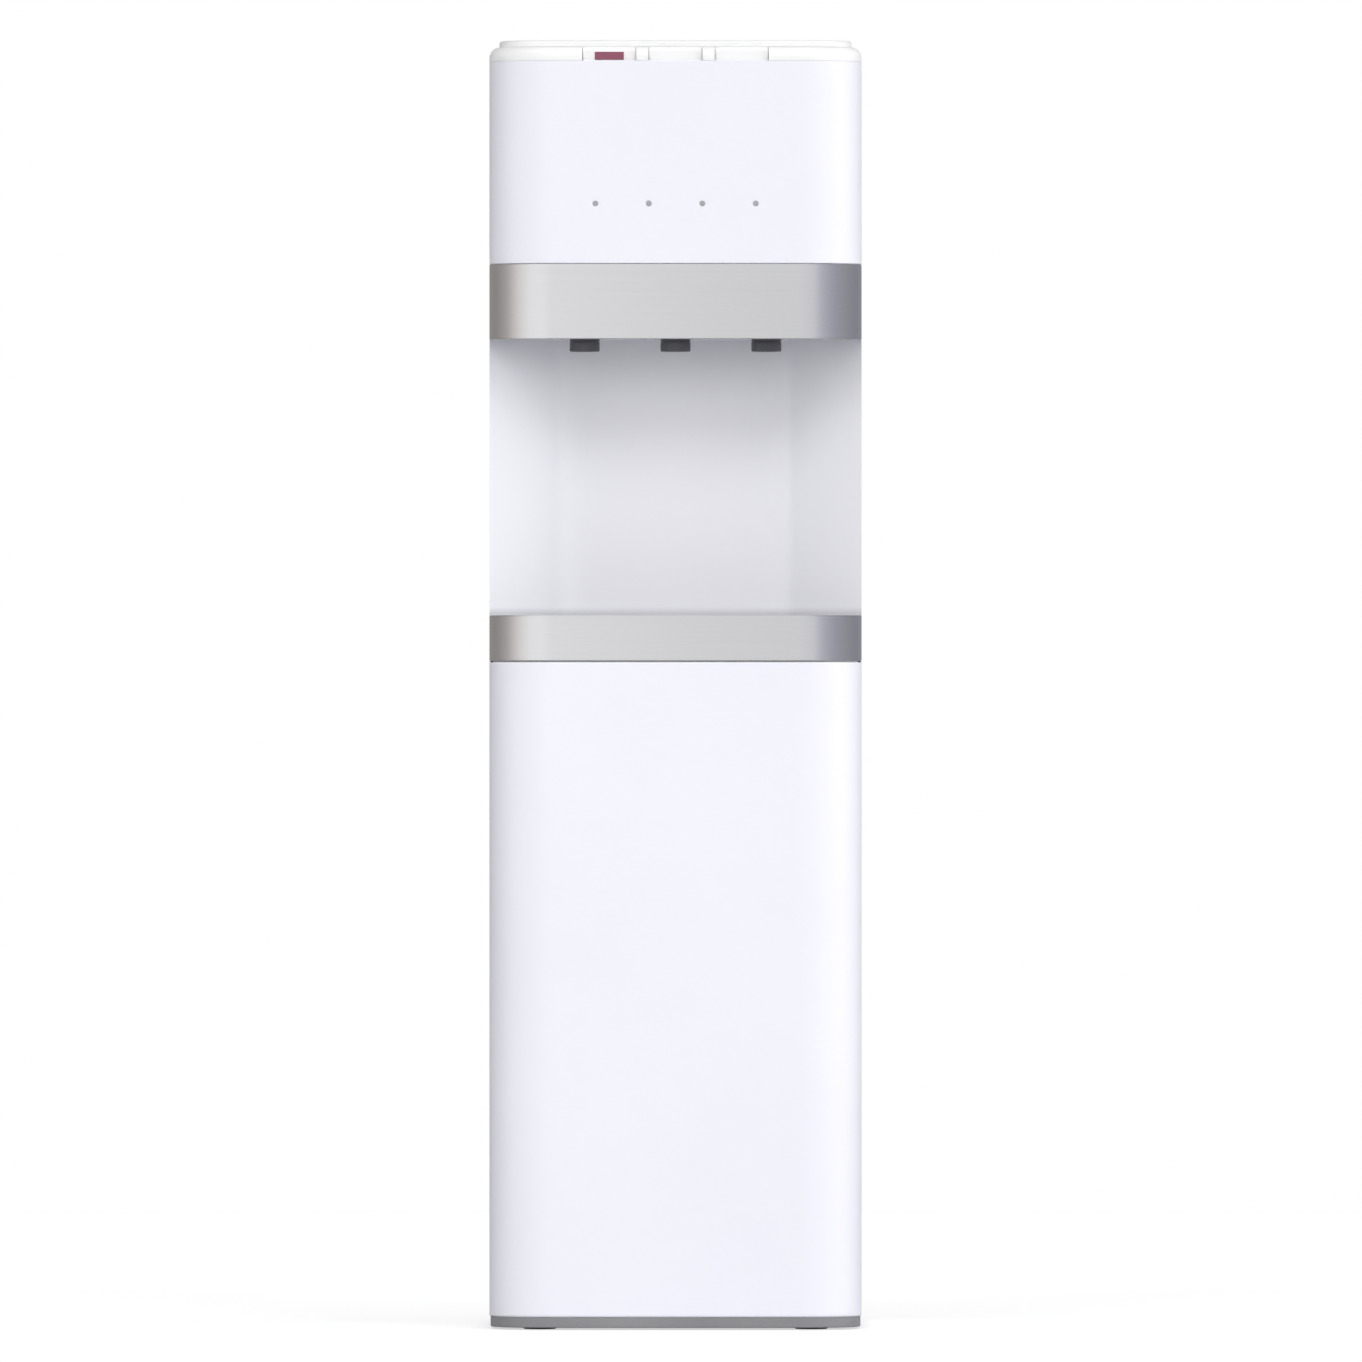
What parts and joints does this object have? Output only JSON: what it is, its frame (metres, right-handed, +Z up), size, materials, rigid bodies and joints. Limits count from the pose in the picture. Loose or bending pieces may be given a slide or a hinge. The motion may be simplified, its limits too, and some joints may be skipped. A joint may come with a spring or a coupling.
{
  "type": "water dispenser",
  "caption": "Tall white floor-standing water dispenser: bottle well under a lid, push-key taps over an open alcove with a pull-out drip tray, steel bands, condenser behind.",
  "frame": {"origin": "on the floor under the middle of the outline seen from above", "axes": "+Z up, the front with the taps faces -Y, +X to the right seen from the front"},
  "size_m": [0.31, 0.34, 1.0733],
  "materials": {
    "white_plastic": "smooth moulded plastic, soft gloss",
    "white_steel": "white powder-coated sheet, fine texture",
    "brushed_trim": "horizontally brushed, satin",
    "natural_plastic": "matt moulded plastic",
    "grey_plastic": "fine-textured moulded plastic",
    "dark_plastic": "matt dark moulded plastic",
    "red_plastic": "glossy red plastic",
    "black_switch": "glossy black plastic",
    "dark_coated_steel": "dark coated steel",
    "rubber": "matt rubber",
    "silicone": "translucent milky silicone",
    "lens": "clear diffusing lens",
    "circuit_board": "green laminate",
    "galvanised": "zinc-coated sheet",
    "plain_steel": "plain stainless steel",
    "foam": "closed-cell foam",
    "copper": "bare copper tube"
  },
  "bodies": {
    "cabinet": {"base_pan": "dark_coated_steel", "feet": "rubber", "left_side_panel": "white_steel", "right_side_panel": "white_steel", "rear_panel": "white_steel", "compressor_cover": "white_steel", "rear_screws": "plain_steel", "lower_front_panel": "white_plastic", "tray_shelf": "natural_plastic", "alcove_liner": "white_plastic", "head_band": "brushed_trim", "upper_front_panel": "white_plastic", "indicator_lenses": "lens", "indicator_board": "circuit_board", "top_deck": "white_plastic", "bottle_collar": "natural_plastic", "piercing_probe": "natural_plastic", "tap_valves": "natural_plastic", "nozzles": "dark_plastic", "tank_shelf": "galvanised", "cold_tank": "plain_steel", "cold_tank_cover": "natural_plastic", "baffle_plate": "natural_plastic", "evaporator_coil": "copper", "cold_tank_foam": "foam", "hot_tank": "plain_steel", "heater_element": "plain_steel", "hot_tank_jacket": "foam", "hot_tank_bracket": "galvanised", "water_hoses": "silicone", "compressor": "dark_coated_steel", "compressor_mounts": "rubber", "condenser_tube": "dark_coated_steel", "condenser_wires": "dark_coated_steel", "condenser_brackets": "dark_plastic", "refrigerant_lines": "copper", "control_box": "dark_plastic", "switch_housings": "dark_plastic", "drain_spout": "dark_plastic", "cable_gland": "dark_plastic", "hot_key_spring": "plain_steel", "room_key_spring": "plain_steel", "cold_key_spring": "plain_steel"},
    "lid": {"lid": "white_plastic"},
    "hot_key": {"hot_key": "white_plastic", "hot_push_bar": "natural_plastic", "hot_valve_stem": "silicone"},
    "room_key": {"room_key": "white_plastic", "room_push_bar": "natural_plastic", "room_valve_stem": "silicone"},
    "cold_key": {"cold_key": "white_plastic", "cold_push_bar": "natural_plastic", "cold_valve_stem": "silicone"},
    "child_lock": {"child_lock": "red_plastic"},
    "drip_tray": {"drip_tray": "grey_plastic", "tray_band": "brushed_trim"},
    "drip_grille": {"drip_grille": "grey_plastic"},
    "hot_switch": {"hot_switch": "red_plastic"},
    "cold_switch": {"cold_switch": "black_switch"},
    "drain_cap": {"drain_cap": "dark_plastic"}
  },
  "joints": [
    {"name": "lid_lift", "type": "slide", "parent": "cabinet", "child": "lid", "axis": [0, 0, 1], "range_m": [0, 0.08]},
    {"name": "hot_key_press", "type": "slide", "parent": "cabinet", "child": "hot_key", "axis": [0, 0, -1], "range_m": [0, 0.005], "stiffness_N_per_m": 800, "springref_m": -0.003, "deforming": ["hot_key_spring"]},
    {"name": "room_key_press", "type": "slide", "parent": "cabinet", "child": "room_key", "axis": [0, 0, -1], "range_m": [0, 0.005], "stiffness_N_per_m": 800, "springref_m": -0.003, "deforming": ["room_key_spring"]},
    {"name": "cold_key_press", "type": "slide", "parent": "cabinet", "child": "cold_key", "axis": [0, 0, -1], "range_m": [0, 0.005], "stiffness_N_per_m": 800, "springref_m": -0.003, "deforming": ["cold_key_spring"]},
    {"name": "child_lock_slide", "type": "slide", "parent": "hot_key", "child": "child_lock", "axis": [1, 0, 0], "range_m": [0, 0.006]},
    {"name": "drip_tray_slide", "type": "slide", "parent": "cabinet", "child": "drip_tray", "axis": [0, -1, 0], "range_m": [0, 0.135]},
    {"name": "drip_grille_lift", "type": "slide", "parent": "drip_tray", "child": "drip_grille", "axis": [0, 0, 1], "range_m": [0, 0.04]},
    {"name": "hot_switch_rock", "type": "hinge", "parent": "cabinet", "child": "hot_switch", "pos_m": [-0.022, 0.1485, 1.015], "axis": [-1, 0, 0], "range_deg": [0, 18]},
    {"name": "cold_switch_rock", "type": "hinge", "parent": "cabinet", "child": "cold_switch", "pos_m": [0.022, 0.1485, 1.015], "axis": [-1, 0, 0], "range_deg": [0, 18]},
    {"name": "drain_cap_pull", "type": "slide", "parent": "cabinet", "child": "drain_cap", "axis": [0, 1, 0], "range_m": [0, 0.02]}
  ]
}
